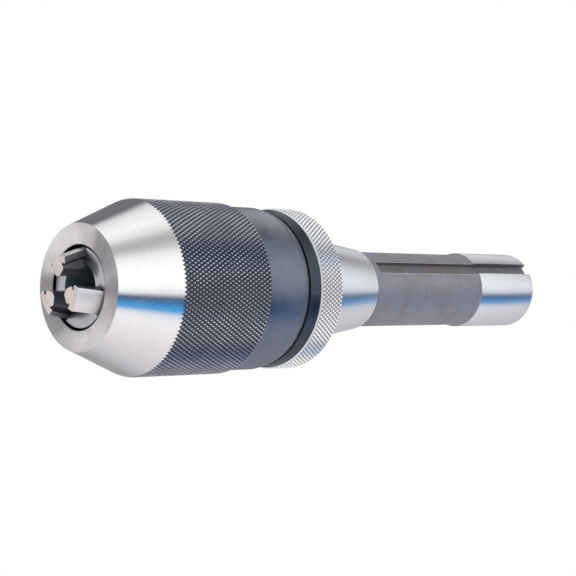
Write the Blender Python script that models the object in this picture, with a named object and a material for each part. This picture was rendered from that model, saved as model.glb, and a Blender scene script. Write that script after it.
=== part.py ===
"""Keyless drill chuck on an integral R8 shank, as separate parts at rest with the jaws part open.

+Z runs along the axis from the nose to the shank's end, and z = 0 is the shank's gauge line.
"""

import math

import bmesh
import bpy
from mathutils import Matrix, Vector

# Clearances
CLEAR = 0.0003  # between neighbouring pieces
SEGMENTS = 72  # faces round an outer turned piece
INNER_SEGMENTS = 48  # and round a small inner one

# Shank, an R8 taper
GAUGE_R = 0.015875
TAPER_HALF_ANGLE = math.radians(8.425)
TAPER_LEN = 0.0238
SHANK_LEN = 0.1016
PILOT_R = 0.01205
PILOT_LEN = 0.0280
RELIEF_R = 0.01149
SHANK_CHAMFER = 0.0008
DRAWBAR_R = 0.0051
DRAWBAR_DEPTH = 0.0450
KEYWAY_W = 0.0040
KEYWAY_DEPTH = 0.0017
KEYWAY_START = 0.0032  # behind the small end of the taper
KEYWAY_ANGLE = math.radians(240)
SHOULDER_LEN = 0.0031

# Collar, dust ring and sleeves
COLLAR_R = 0.02357
COLLAR_W = 0.0083
COLLAR_CHAMFER = 0.0005
DUST_RING_STEP = 0.0007  # how far the dust ring lies inside the rear sleeve's surface
GAP_W = 0.0041
REAR_SLEEVE_STEP = 0.00095  # and the rear sleeve inside the knurled one's
REAR_SLEEVE_LEN = 0.0161
REAR_SLEEVE_CHAMFER = 0.0012
REAR_WALL = 0.00275
SLEEVE_R = 0.02427
SLEEVE_WALL = 0.00327
KNURL_LEN = 0.0301
CONE_LEN = 0.0174
NOSE_R = 0.01703
NOSE_HOLE_STEP = 0.0010  # how far the nose hole stands outside the cone's front edge
THREAD_STEP = 0.0015  # how far the joint thread lies outside the sleeve's bore
SKIRT_LEN = 0.0054

# Thrust bearing
BALL_COUNT = 12
BALL_R = 0.0020
RACE_T = 0.0015
RACE_W = 0.0057
RACE_SPARE = 0.0011  # between a race and the body's neck
CAGE_T = 0.0018
CAGE_SPARE = 0.0009
POCKET_SPARE = 0.00035  # between a ball and its pocket
FLANGE_T = 0.0045

# Lead screw
STEM_R = 0.0062
STEM_LEN = 0.0340
STEM_BORE_SPARE = 0.0020
HEAD_T = 0.0068
SLOT_LIP = 0.0028  # head metal in front of the wide part of each T-slot
SLOT_INNER_R = 0.0046

# Jaws and their guide
JAW_ANGLES = (180, 60, -60)  # degrees
JAW_SLOPE = math.radians(17.5)
JAW_REACH = 0.0061  # how far the jaws stand out of the nose
JAW_TIP_R = 0.0082
JAW_LAND_R = 0.0030
JAW_LAND_W = 0.0015
JAW_INNER_W = 0.0046
JAW_OUTER_W = 0.0066
JAW_STEP = 0.0022  # depth of the wide outer part
JAW_CROWN_R = 0.0100
JAW_HOOK_T = 0.0020
JAW_TAIL_INNER_R = 0.0082
GRIP_SPARE = 0.0007  # grip land that stays in front of the guide's step
OPEN_RADIAL = 0.0035  # from rest to the widest opening
CLOSE_RADIAL = 0.0025  # from rest to closed
GUIDE_BORE_R = 0.00666
GUIDE_RIM_GAP = 0.00077  # between the guide's rim and the nose hole
GUIDE_SHELL_T = 0.00217  # the guide's wall round the screw's head
GUIDE_RECESS = 0.0007
GUIDE_FLANGE_T = 0.0034

# Stations along the axis, from the collar forwards
SLOPE = math.tan(JAW_SLOPE)
COLLAR_REAR = -SHOULDER_LEN
COLLAR_FRONT = COLLAR_REAR - COLLAR_W
SLEEVE_REAR = COLLAR_FRONT - GAP_W
KNURL_REAR = SLEEVE_REAR - REAR_SLEEVE_LEN
KNURL_FRONT = KNURL_REAR - KNURL_LEN
NOSE = KNURL_FRONT - CONE_LEN
JAW_TIP = NOSE - JAW_REACH
REAR_SLEEVE_R = SLEEVE_R - REAR_SLEEVE_STEP
DUST_RING_R = REAR_SLEEVE_R - DUST_RING_STEP
BORE_R = SLEEVE_R - SLEEVE_WALL
THREAD_R = BORE_R + THREAD_STEP
WALL_FRONT = SLEEVE_REAR - REAR_WALL
REAR_RACE_REAR = WALL_FRONT - CLEAR
BALL_Z = REAR_RACE_REAR - RACE_T - CLEAR - BALL_R
FRONT_RACE_REAR = BALL_Z - BALL_R - CLEAR
FLANGE_REAR = FRONT_RACE_REAR - RACE_T - CLEAR
FLANGE_FRONT = FLANGE_REAR - FLANGE_T
SKIRT_R_IN = BORE_R - CLEAR - 0.0001
SKIRT_FRONT = KNURL_REAR - SKIRT_LEN
RACE_R_OUT = SKIRT_R_IN - CLEAR
RACE_R_IN = RACE_R_OUT - RACE_W
NECK_R = RACE_R_IN - RACE_SPARE
CAGE_R_IN = NECK_R + CAGE_SPARE
BALL_PITCH_R = (CAGE_R_IN + RACE_R_OUT - 0.0002) / 2
CAGE_R_OUT = RACE_R_OUT - 0.0002
FLANGE_R = RACE_R_OUT - 0.0008
HEAD_REAR = FLANGE_FRONT - CLEAR - OPEN_RADIAL / SLOPE
HEAD_FRONT = HEAD_REAR - HEAD_T
GUIDE_STEP = HEAD_FRONT - CLOSE_RADIAL / SLOPE - CLEAR
GUIDE_FRONT = NOSE + GUIDE_RECESS
GUIDE_REAR = SKIRT_FRONT - CLEAR
JAW_BACK = HEAD_FRONT - CLEAR
JAW_REAR_R = BORE_R - CLEAR - OPEN_RADIAL
HOOK_FRONT = HEAD_FRONT + SLOT_LIP + CLEAR
HOOK_REAR = HOOK_FRONT + JAW_HOOK_T


def jaw_line(z):
    """Radius of the jaws' outer edge at z, at rest."""
    return JAW_TIP_R + (z - JAW_TIP) * SLOPE


def cone_line(z):
    """Radius of the sleeve's internal cone at z."""
    return jaw_line(z) + CLEAR


def cone_station(radius):
    """Where the sleeve's internal cone has this radius."""
    return JAW_TIP + (radius - CLEAR - JAW_TIP_R) / SLOPE


NOSE_HOLE_R = cone_line(NOSE) + NOSE_HOLE_STEP
GUIDE_RIM_R = NOSE_HOLE_R - GUIDE_RIM_GAP
HEAD_R = cone_line(GUIDE_STEP) - CLEAR - GUIDE_SHELL_T - CLEAR


def wide_bore(front_of_flange):
    """(radius, start) of the straight bore behind the cone: none is left where the cone runs into the flange's seat."""
    radius = min(BORE_R, cone_line(front_of_flange))
    return radius, cone_station(radius)


def clear_scene():
    for old in list(bpy.data.objects):
        bpy.data.objects.remove(old, do_unlink=True)


def material(name, colour, metallic, roughness):
    made = bpy.data.materials.get(name) or bpy.data.materials.new(name)
    made.use_nodes = True
    shader = made.node_tree.nodes["Principled BSDF"]
    shader.inputs["Base Color"].default_value = (*colour, 1)
    shader.inputs["Metallic"].default_value = metallic
    shader.inputs["Roughness"].default_value = roughness
    return made


def add_object(name, mesh, surface=None):
    obj = bpy.data.objects.new(name, mesh)
    bpy.context.scene.collection.objects.link(obj)
    if surface:
        mesh.materials.append(surface)
        mesh.shade_smooth()
        mesh.set_sharp_from_angle(angle=math.radians(30))
    return obj


def mesh_from(name, bm):
    bmesh.ops.recalc_face_normals(bm, faces=bm.faces)
    mesh = bpy.data.meshes.new(name)
    bm.to_mesh(mesh)
    bm.free()
    return mesh


def turned(name, profile, surface=None, segments=SEGMENTS):
    """A turned piece: the closed (radius, z) profile taken round the axis."""
    bm = bmesh.new()
    rings = []
    profile = [point for point, after in zip(profile, profile[1:] + profile[:1]) if math.dist(point, after) > 1e-6]
    for radius, z in profile:
        if radius == 0:
            rings.append([bm.verts.new((0, 0, z))] * segments)
            continue
        angles = [2 * math.pi * i / segments for i in range(segments)]
        rings.append([bm.verts.new((radius * math.cos(a), radius * math.sin(a), z)) for a in angles])
    for low, high in zip(rings, rings[1:] + rings[:1]):
        if low[0] is low[1] and high[0] is high[1]:
            continue
        for i in range(segments):
            j = (i + 1) % segments
            corners = []
            for corner in (low[i], low[j], high[j], high[i]):
                if corner not in corners:
                    corners.append(corner)
            bm.faces.new(corners)
    return add_object(name, mesh_from(name, bm), surface)


def prism(name, outline, place, depth):
    """The outline taken straight along: place(a, b, t) gives each corner, with t from -depth to depth."""
    bm = bmesh.new()
    near = [bm.verts.new(place(a, b, -depth)) for a, b in outline]
    far = [bm.verts.new(place(a, b, depth)) for a, b in outline]
    bm.faces.new(near)
    bm.faces.new(list(reversed(far)))
    for i in range(len(outline)):
        j = (i + 1) % len(outline)
        bm.faces.new((near[i], near[j], far[j], far[i]))
    return add_object(name, mesh_from(name, bm))


def block(name, low, high, turn=None):
    """A box between two corners, then moved by the matrix turn."""
    bm = bmesh.new()
    bmesh.ops.create_cube(bm, size=1)
    middle = (Vector(low) + Vector(high)) / 2
    size = Vector(high) - Vector(low)
    bm.transform(Matrix.Translation(middle) @ Matrix.Diagonal((*size, 1)))
    if turn:
        bm.transform(turn)
    return add_object(name, mesh_from(name, bm))


def boolean(obj, other, operation):
    other.hide_render = True
    other.display_type = "WIRE"
    step = obj.modifiers.new(other.name, "BOOLEAN")
    step.operation = operation
    step.solver = "EXACT"
    step.object = other


def shank_body():
    steel = material("ground_steel", (0.62, 0.61, 0.60), 1, 0.3)
    taper_end_r = GAUGE_R - TAPER_LEN * math.tan(TAPER_HALF_ANGLE)
    pilot_front = SHANK_LEN - PILOT_LEN
    hole_floor = SHANK_LEN - DRAWBAR_DEPTH
    stem_open_end = HEAD_REAR + OPEN_RADIAL / SLOPE + STEM_LEN
    bore_end = stem_open_end + STEM_BORE_SPARE
    bore_r = STEM_R + CLEAR
    profile = [
        (0, hole_floor - 0.5 * DRAWBAR_R),
        (DRAWBAR_R, hole_floor),
        (DRAWBAR_R, SHANK_LEN - SHANK_CHAMFER),
        (DRAWBAR_R + SHANK_CHAMFER, SHANK_LEN),
        (PILOT_R - SHANK_CHAMFER, SHANK_LEN),
        (PILOT_R, SHANK_LEN - SHANK_CHAMFER),
        (PILOT_R, pilot_front + 0.5 * (PILOT_R - RELIEF_R)),
        (RELIEF_R, pilot_front),
        (RELIEF_R, TAPER_LEN + 0.5 * (taper_end_r - RELIEF_R)),
        (taper_end_r, TAPER_LEN),
        (GAUGE_R, 0),
        (GAUGE_R, COLLAR_REAR + CLEAR),
        (NECK_R, COLLAR_REAR + CLEAR),
        (NECK_R, FLANGE_REAR),
        (FLANGE_R, FLANGE_REAR),
        (FLANGE_R, FLANGE_FRONT),
        (bore_r, FLANGE_FRONT),
        (bore_r, bore_end),
        (0, bore_end + 0.5 * bore_r),
    ]
    body = turned("shank_body", profile, steel)
    keyway = block(
        "cut_keyway",
        (RELIEF_R - KEYWAY_DEPTH, -KEYWAY_W / 2, TAPER_LEN + KEYWAY_START),
        (PILOT_R + 0.005, KEYWAY_W / 2, SHANK_LEN + 0.005),
        Matrix.Rotation(KEYWAY_ANGLE, 4, "Z"),
    )
    boolean(body, keyway, "DIFFERENCE")


def knurled_collar():
    steel = material("bright_knurl", (0.64, 0.63, 0.62), 1, 0.3)
    profile = [
        (NECK_R + CLEAR, COLLAR_REAR),
        (COLLAR_R - COLLAR_CHAMFER, COLLAR_REAR),
        (COLLAR_R, COLLAR_REAR - COLLAR_CHAMFER),
        (COLLAR_R, COLLAR_FRONT + COLLAR_CHAMFER),
        (COLLAR_R - COLLAR_CHAMFER, COLLAR_FRONT),
        (NECK_R + CLEAR, COLLAR_FRONT),
    ]
    turned("knurled_collar", profile, steel)


def dust_ring():
    black = material("black_oxide_ring", (0.05, 0.055, 0.065), 0.8, 0.42)
    rear = COLLAR_FRONT - CLEAR
    front = SLEEVE_REAR + CLEAR
    profile = [
        (NECK_R + CLEAR, rear),
        (DUST_RING_R, rear),
        (DUST_RING_R, front + CLEAR),
        (DUST_RING_R - CLEAR, front),
        (NECK_R + CLEAR, front),
    ]
    turned("dust_ring", profile, black)


def rear_sleeve():
    black = material("black_oxide_smooth", (0.09, 0.095, 0.11), 0.85, 0.4)
    thread_r = THREAD_R - CLEAR
    profile = [
        (NECK_R + 0.0007, SLEEVE_REAR),
        (REAR_SLEEVE_R - REAR_SLEEVE_CHAMFER, SLEEVE_REAR),
        (REAR_SLEEVE_R, SLEEVE_REAR - REAR_SLEEVE_CHAMFER),
        (REAR_SLEEVE_R, KNURL_REAR + CLEAR),
        (thread_r, KNURL_REAR + CLEAR),
        (thread_r, SKIRT_FRONT),
        (SKIRT_R_IN, SKIRT_FRONT),
        (SKIRT_R_IN, WALL_FRONT),
        (NECK_R + 0.0007, WALL_FRONT),
    ]
    turned("rear_sleeve", profile, black)


def knurled_sleeve():
    black = material("black_oxide_knurl", (0.06, 0.065, 0.08), 0.85, 0.45)
    counterbore = SKIRT_FRONT - 2 * CLEAR - GUIDE_FLANGE_T
    bore_r, bore_start = wide_bore(counterbore)
    profile = [
        (THREAD_R, KNURL_REAR),
        (SLEEVE_R - 0.0004, KNURL_REAR),
        (SLEEVE_R, KNURL_REAR - 0.0004),
        (SLEEVE_R, KNURL_FRONT + 0.0006),
        (SLEEVE_R - 0.00007, KNURL_FRONT),
        (NOSE_R, NOSE),
        (NOSE_HOLE_R, NOSE),
        (NOSE_HOLE_R, cone_station(NOSE_HOLE_R)),
        (bore_r, bore_start),
        (bore_r, counterbore),
        (THREAD_R, counterbore),
    ]
    turned("knurled_sleeve", profile, black)


def race(name, rear):
    steel = material("race_steel", (0.55, 0.55, 0.56), 1, 0.2)
    profile = [
        (RACE_R_IN, rear),
        (RACE_R_OUT, rear),
        (RACE_R_OUT, rear - RACE_T),
        (RACE_R_IN, rear - RACE_T),
    ]
    turned(name, profile, steel, INNER_SEGMENTS)


def ball_cage():
    brass = material("cage_brass", (0.62, 0.45, 0.18), 1, 0.35)
    profile = [
        (CAGE_R_IN, BALL_Z + CAGE_T / 2),
        (CAGE_R_OUT, BALL_Z + CAGE_T / 2),
        (CAGE_R_OUT, BALL_Z - CAGE_T / 2),
        (CAGE_R_IN, BALL_Z - CAGE_T / 2),
    ]
    cage = turned("ball_cage", profile, brass, INNER_SEGMENTS)
    pocket_r = BALL_R + POCKET_SPARE
    bm = bmesh.new()
    for i in range(BALL_COUNT):
        place = Matrix.Rotation(2 * math.pi * i / BALL_COUNT, 4, "Z")
        place = place @ Matrix.Translation((BALL_PITCH_R, 0, BALL_Z))
        bmesh.ops.create_cone(
            bm, cap_ends=True, segments=14, radius1=pocket_r, radius2=pocket_r, depth=4 * CAGE_T, matrix=place
        )
    boolean(cage, add_object("cut_pockets", mesh_from("cut_pockets", bm)), "DIFFERENCE")


def balls():
    steel = material("ball_steel", (0.7, 0.7, 0.72), 1, 0.1)
    bm = bmesh.new()
    bmesh.ops.create_uvsphere(bm, u_segments=12, v_segments=7, radius=BALL_R)
    mesh = mesh_from("ball", bm)
    mesh.materials.append(steel)
    mesh.shade_smooth()
    for i in range(BALL_COUNT):
        ball = add_object(f"ball_{i + 1:02d}", mesh)
        angle = 2 * math.pi * i / BALL_COUNT
        ball.location = (BALL_PITCH_R * math.cos(angle), BALL_PITCH_R * math.sin(angle), BALL_Z)


def jaw_turn(degrees):
    return Matrix.Rotation(math.radians(degrees), 4, "Z")


def spindle_screw():
    steel = material("screw_steel", (0.45, 0.45, 0.46), 1, 0.3)
    stem_end = HEAD_REAR + STEM_LEN
    profile = [
        (0, stem_end),
        (STEM_R - 0.0006, stem_end),
        (STEM_R, stem_end - 0.0006),
        (STEM_R, HEAD_REAR),
        (HEAD_R - 0.0004, HEAD_REAR),
        (HEAD_R, HEAD_REAR - 0.0004),
        (HEAD_R, HEAD_FRONT + 0.0004),
        (HEAD_R - 0.0004, HEAD_FRONT),
        (0, HEAD_FRONT),
    ]
    screw = turned("spindle_screw", profile, steel, INNER_SEGMENTS)
    narrow = JAW_INNER_W / 2 + CLEAR
    wide = JAW_OUTER_W / 2 + CLEAR
    far = HEAD_R + 0.005
    front = HEAD_FRONT - 0.002
    lip = HEAD_FRONT + SLOT_LIP
    rear = HOOK_REAR + CLEAR
    outline = [(-narrow, front), (narrow, front), (narrow, lip), (wide, lip)]
    outline += [(wide, rear), (-wide, rear), (-wide, lip), (-narrow, lip)]
    middle = (SLOT_INNER_R + far) / 2
    half = (far - SLOT_INNER_R) / 2
    for degrees in JAW_ANGLES:
        turn = jaw_turn(degrees)
        slot = prism(f"cut_slot_{degrees}", outline, lambda a, b, t: turn @ Vector((middle + t, a, b)), half)
        boolean(screw, slot, "DIFFERENCE")


def slope_frame():
    """A jaw's sloping frame: x outwards from its outer edge, z rearwards along that edge from the tip."""
    return Matrix.Translation((JAW_TIP_R, 0, JAW_TIP)) @ Matrix.Rotation(JAW_SLOPE, 4, "Y")


def jaw_guide():
    steel = material("guide_steel", (0.5, 0.5, 0.51), 1, 0.28)
    rim_back = cone_station(GUIDE_RIM_R + CLEAR)
    shell_r_in = HEAD_R + CLEAR
    flange_front = GUIDE_REAR - GUIDE_FLANGE_T
    bore_r, bore_start = wide_bore(flange_front)
    profile = [
        (GUIDE_BORE_R, GUIDE_FRONT),
        (GUIDE_RIM_R, GUIDE_FRONT),
        (GUIDE_RIM_R, rim_back),
        (bore_r - CLEAR, bore_start),
        (bore_r - CLEAR, flange_front),
        (THREAD_R - CLEAR, flange_front),
        (THREAD_R - CLEAR, GUIDE_REAR),
        (shell_r_in, GUIDE_REAR),
        (shell_r_in, GUIDE_STEP),
        (GUIDE_BORE_R, GUIDE_STEP),
    ]
    guide = turned("jaw_guide", profile, steel)
    narrow = JAW_INNER_W / 2 + CLEAR
    wide = JAW_OUTER_W / 2 + CLEAR
    step = -JAW_STEP - CLEAR
    deep = -(cone_line(GUIDE_STEP) - GUIDE_BORE_R / 2) * math.cos(JAW_SLOPE)
    high = NOSE_HOLE_R
    section = [(deep, narrow), (step, narrow), (step, wide), (high, wide)]
    section += [(high, -wide), (step, -wide), (step, -narrow), (deep, -narrow)]
    half = (GUIDE_STEP + CLEAR - JAW_TIP) / math.cos(JAW_SLOPE) / 2
    for degrees in JAW_ANGLES:
        turn = jaw_turn(degrees)
        place = turn @ slope_frame()
        slot = prism(f"cut_slope_{degrees}", section, lambda a, b, t: place @ Vector((a, b, half + t)), half)
        boolean(guide, slot, "DIFFERENCE")
        low = (SLOT_INNER_R, -wide, GUIDE_STEP - 2 * CLEAR)
        high_corner = (BORE_R, wide, GUIDE_REAR + GUIDE_FLANGE_T)
        boolean(guide, block(f"cut_rear_{degrees}", low, high_corner, turn), "DIFFERENCE")


def jaw_mesh():
    """One jaw, pointing along +X from the axis."""
    half_in = JAW_INNER_W / 2
    half_out = JAW_OUTER_W / 2
    sag = JAW_CROWN_R - math.sqrt(JAW_CROWN_R**2 - half_out**2)
    steps = 4
    crown = []
    for i in range(steps + 1):
        across = half_out * (1 - 2 * i / steps)
        crown.append((JAW_CROWN_R * math.cos(math.asin(across / JAW_CROWN_R)) - JAW_CROWN_R, across))
    depth = 0.030
    section = [(-depth, half_in), (-JAW_STEP, half_in), (-JAW_STEP, half_out), *crown]
    section += [(-JAW_STEP, -half_out), (-JAW_STEP, -half_in), (-depth, -half_in)]
    tilt = slope_frame()
    jaw = prism("jaw_bar", section, lambda a, b, t: tilt @ Vector((a, b, t)), 0.060)

    back_of_land = GUIDE_STEP + GRIP_SPARE
    outline = [
        (JAW_LAND_R, JAW_TIP),
        (JAW_LAND_R, back_of_land),
        (JAW_TAIL_INNER_R, JAW_BACK),
        (JAW_REAR_R, JAW_BACK),
        (JAW_REAR_R, JAW_TIP),
    ]
    side = prism("jaw_side", outline, lambda a, b, t: Vector((a, t, b)), 0.010)
    boolean(jaw, side, "INTERSECT")
    for sign in (1, -1):
        turn = Matrix.Translation((JAW_LAND_R, sign * JAW_LAND_W / 2, 0)) @ Matrix.Rotation(sign * math.pi / 4, 4, "Z")
        low = (-0.02, 0, JAW_TIP - 0.01) if sign > 0 else (-0.02, -0.02, JAW_TIP - 0.01)
        high = (0.02, 0.02, HOOK_REAR) if sign > 0 else (0.02, 0, HOOK_REAR)
        boolean(jaw, block(f"cut_bevel_{sign}", low, high, turn), "DIFFERENCE")
    tail_out = min(JAW_REAR_R, jaw_line(JAW_BACK)) - 0.0014
    low = (JAW_TAIL_INNER_R + 0.0002, -half_in, JAW_BACK - 0.0015)
    neck = block("jaw_neck", low, (tail_out, half_in, HOOK_FRONT + 0.0005))
    boolean(jaw, neck, "UNION")
    low = (JAW_TAIL_INNER_R + 0.0002, -half_out, HOOK_FRONT)
    hook = block("jaw_hook", low, (tail_out, half_out, HOOK_REAR))
    boolean(jaw, hook, "UNION")
    jaw.hide_render = True
    bpy.context.view_layer.update()
    graph = bpy.context.evaluated_depsgraph_get()
    mesh = bpy.data.meshes.new_from_object(jaw.evaluated_get(graph))
    mesh.name = "jaw"
    mesh.materials.clear()
    mesh.materials.append(material("jaw_steel", (0.6, 0.57, 0.55), 1, 0.22))
    mesh.shade_smooth()
    mesh.set_sharp_from_angle(angle=math.radians(20))
    return mesh


def jaws():
    mesh = jaw_mesh()
    for number, degrees in enumerate(JAW_ANGLES, 1):
        jaw = add_object(f"jaw_{number}", mesh)
        jaw.rotation_euler = (0, 0, math.radians(degrees))


clear_scene()
shank_body()
knurled_collar()
dust_ring()
rear_sleeve()
knurled_sleeve()
race("rear_race", REAR_RACE_REAR)
race("front_race", FRONT_RACE_REAR)
ball_cage()
balls()
spindle_screw()
jaw_guide()
jaws()
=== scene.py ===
import bpy
import math
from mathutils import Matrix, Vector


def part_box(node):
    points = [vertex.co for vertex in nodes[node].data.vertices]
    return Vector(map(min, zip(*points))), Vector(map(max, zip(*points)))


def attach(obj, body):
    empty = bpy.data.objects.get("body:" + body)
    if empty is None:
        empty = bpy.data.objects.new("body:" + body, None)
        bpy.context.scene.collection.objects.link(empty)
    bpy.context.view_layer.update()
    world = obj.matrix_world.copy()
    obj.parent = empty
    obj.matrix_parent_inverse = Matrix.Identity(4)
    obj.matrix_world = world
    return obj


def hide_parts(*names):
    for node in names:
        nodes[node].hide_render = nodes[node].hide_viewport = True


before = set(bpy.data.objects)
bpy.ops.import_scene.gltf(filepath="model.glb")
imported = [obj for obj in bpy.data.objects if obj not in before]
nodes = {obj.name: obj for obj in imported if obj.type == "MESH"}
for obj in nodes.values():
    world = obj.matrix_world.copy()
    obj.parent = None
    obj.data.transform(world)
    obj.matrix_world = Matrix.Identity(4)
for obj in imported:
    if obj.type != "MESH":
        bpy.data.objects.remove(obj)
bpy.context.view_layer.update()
print("frame loaded:", len(nodes), "nodes")

mergeDistance = 1e-6  # points nearer than this are one point


def deselectAll():
    if bpy.context.mode != "OBJECT":
        bpy.ops.object.mode_set(mode="OBJECT")
    for other in list(bpy.context.selected_objects):
        other.select_set(False)


def makeActive(piece):
    deselectAll()
    piece.select_set(True)
    bpy.context.view_layer.objects.active = piece


def selectVerts(piece, wanted):
    bpy.ops.object.mode_set(mode="EDIT")
    bpy.ops.mesh.select_mode(type="VERT")
    bpy.ops.mesh.select_all(action="DESELECT")
    bpy.ops.object.mode_set(mode="OBJECT")
    for vert in piece.data.vertices:
        vert.select = wanted(vert.co)
    bpy.ops.object.mode_set(mode="EDIT")


def turnedPiece(name, rings, count, closed=True):
    # a circle extruded from ring to ring, each (radius, z), as on a lathe
    deselectAll()
    bpy.ops.mesh.primitive_circle_add(vertices=count, radius=rings[0][0], location=(0, 0, 0))
    piece = bpy.context.active_object
    piece.name = name
    piece.data.name = name
    bpy.ops.object.mode_set(mode="EDIT")
    bpy.ops.mesh.select_all(action="SELECT")
    bpy.ops.transform.translate(value=(0, 0, rings[0][1]))
    if not closed:
        bpy.ops.mesh.edge_face_add()  # cap the first ring
    nextRings = rings[1:] + rings[:1] if closed else rings[1:]
    for (radius, z), (nextRadius, nextZ) in zip(rings, nextRings):
        bpy.ops.mesh.extrude_region_move(TRANSFORM_OT_translate={"value": (0, 0, nextZ - z)})
        if not math.isclose(radius, nextRadius):
            factor = nextRadius / radius
            bpy.ops.transform.resize(value=(factor, factor, 1), center_override=(0, 0, nextZ))
    if not closed:
        bpy.ops.mesh.edge_face_add()  # cap the last ring
    bpy.ops.mesh.select_all(action="SELECT")
    bpy.ops.mesh.remove_doubles(threshold=mergeDistance)
    bpy.ops.mesh.normals_make_consistent(inside=False)
    bpy.ops.object.mode_set(mode="OBJECT")
    return piece


def edgePoints(radius, z, steps):
    # rings of a turned edge: each step is (outward, along) from a corner at radius and z
    return [(radius + outward, z + along) for outward, along in steps]


def cutWith(piece, cutter, operation="DIFFERENCE"):
    makeActive(piece)
    step = piece.modifiers.new("cut", "BOOLEAN")
    step.operation = operation
    step.solver = "EXACT"
    step.object = cutter
    step.material_mode = "TRANSFER"
    bpy.ops.object.modifier_apply(modifier=step.name)
    bpy.data.objects.remove(cutter, do_unlink=True)


def smoothBy(piece, degrees):
    makeActive(piece)
    bpy.ops.object.shade_smooth_by_angle(angle=math.radians(degrees))


def giveMaterials(piece, *finishes):
    piece.data.materials.clear()
    for finish in finishes:
        piece.data.materials.append(finish)


def paintFaces(piece, slotIndex, wanted):
    # wanted is asked with each face's middle and the way it faces
    for face in piece.data.polygons:
        if wanted(face.center, face.normal):
            face.material_index = slotIndex


def radiusOf(point):
    return math.hypot(point[0], point[1])


def copyOfNode(nodeName, name):
    # the solid's own mesh, merged so that it can be bevelled
    piece = nodes[nodeName].copy()
    piece.data = nodes[nodeName].data.copy()
    piece.name = name
    piece.data.name = name
    for key in list(piece.keys()):
        del piece[key]
    piece.parent = None
    bpy.context.scene.collection.objects.link(piece)
    makeActive(piece)
    bpy.ops.mesh.customdata_custom_splitnormals_clear()
    bpy.ops.object.mode_set(mode="EDIT")
    bpy.ops.mesh.select_all(action="SELECT")
    bpy.ops.mesh.remove_doubles(threshold=mergeDistance)
    bpy.ops.mesh.dissolve_limited(angle_limit=math.radians(1))
    bpy.ops.object.mode_set(mode="OBJECT")
    return piece


def bevelEdges(piece, width, degrees, segments=2):
    makeActive(piece)
    step = piece.modifiers.new("edges", "BEVEL")
    step.width = width
    step.segments = segments
    step.limit_method = "ANGLE"
    step.angle_limit = math.radians(degrees)
    step.use_clamp_overlap = True
    bpy.ops.object.modifier_apply(modifier=step.name)


def addNode(tree, kind, **values):
    made = tree.nodes.new(kind)
    for key, value in values.items():
        setattr(made, key, value)
    return made


def feed(tree, socket, value):
    # a number or a colour is set on the socket, and another node's output is linked to it
    if isinstance(value, (int, float)):
        socket.default_value = value
    elif isinstance(value, tuple):
        socket.default_value = (*value, 1)
    else:
        tree.links.new(value, socket)


def mathNode(tree, operation, *values, clamp=False):
    made = addNode(tree, "ShaderNodeMath", operation=operation, use_clamp=clamp)
    for index, value in enumerate(values):
        feed(tree, made.inputs[index], value)
    return made.outputs[0]


def mixColour(tree, amount, low, high):
    made = addNode(tree, "ShaderNodeMix", data_type="RGBA")
    for index, value in ((0, amount), (6, low), (7, high)):
        feed(tree, made.inputs[index], value)
    return made.outputs[2]


def layOver(tree, tone, mask, share, colour):
    # a share of this colour over the tone, where the mask is
    return mixColour(tree, mathNode(tree, "MULTIPLY", mask, share), tone, colour)


def spread(tree, value, low, high, outLow=0.0, outHigh=1.0):
    made = addNode(tree, "ShaderNodeMapRange")
    tree.links.new(value, made.inputs["Value"])
    made.inputs["From Min"].default_value = low
    made.inputs["From Max"].default_value = high
    made.inputs["To Min"].default_value = outLow
    made.inputs["To Max"].default_value = outHigh
    return made.outputs["Result"]


def noiseNode(tree, vector, scale, detail=2.0, roughness=0.5, distortion=0.0):
    made = addNode(tree, "ShaderNodeTexNoise")
    tree.links.new(vector, made.inputs["Vector"])
    feed(tree, made.inputs["Scale"], scale)
    made.inputs["Detail"].default_value = detail
    made.inputs["Roughness"].default_value = roughness
    made.inputs["Distortion"].default_value = distortion
    return made.outputs["Fac"]


def objectPlace(tree):
    return addNode(tree, "ShaderNodeTexCoord").outputs["Object"]


def splitUp(tree, vector):
    parts = addNode(tree, "ShaderNodeSeparateXYZ")
    tree.links.new(vector, parts.inputs[0])
    return tuple(parts.outputs)


def joinUp(tree, *values):
    made = addNode(tree, "ShaderNodeCombineXYZ")
    for index, value in enumerate(values):
        feed(tree, made.inputs[index], value)
    return made.outputs[0]


def fromAxis(tree, x, y):
    squares = mathNode(tree, "ADD", mathNode(tree, "MULTIPLY", x, x), mathNode(tree, "MULTIPLY", y, y))
    return mathNode(tree, "SQRT", squares)


def newGroup(name, inputs, outputs):
    tree = bpy.data.node_groups.new(name, "ShaderNodeTree")
    for label, value in inputs.items():
        socket = tree.interface.new_socket(label, in_out="INPUT", socket_type="NodeSocketFloat")
        socket.default_value = value
    for label in outputs:
        tree.interface.new_socket(label, in_out="OUTPUT", socket_type="NodeSocketFloat")
    return tree, addNode(tree, "NodeGroupInput"), addNode(tree, "NodeGroupOutput")


def useGroup(tree, group, **values):
    made = addNode(tree, "ShaderNodeGroup", node_tree=group)
    for key, value in values.items():
        made.inputs[key].default_value = value
    return made


marksSettings = {
    "outward": 0.83,          # how much a step away from the axis counts beside one along it
    "broad": 0.16,            # fineness of the broad bands over that of the lines
    "lineDetail": 4.0, "lineRoughness": 0.65,
    # the ray, lobe, tilt and spot settings below paint a fan of highlight and shade into the colour of flat
    # faces
    "rayScale": 1.3, "rayDetail": 3.0, "rayRings": 40.0,
    "rayLow": 0.38, "rayHigh": 0.62, "rayUneven": 0.35,
    "lobeCount": 2.0, "lobeDepth": -0.42, "lobeMiddle": 0.56,
    # tilt makes the fan's painted shade deeper towards +X
    "tilt": 0.18,             # the rays are stronger towards +X
    "highlightTurn": 0.785, "highlightNarrow": 6.0, "highlightDepth": -0.3,
}


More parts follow.
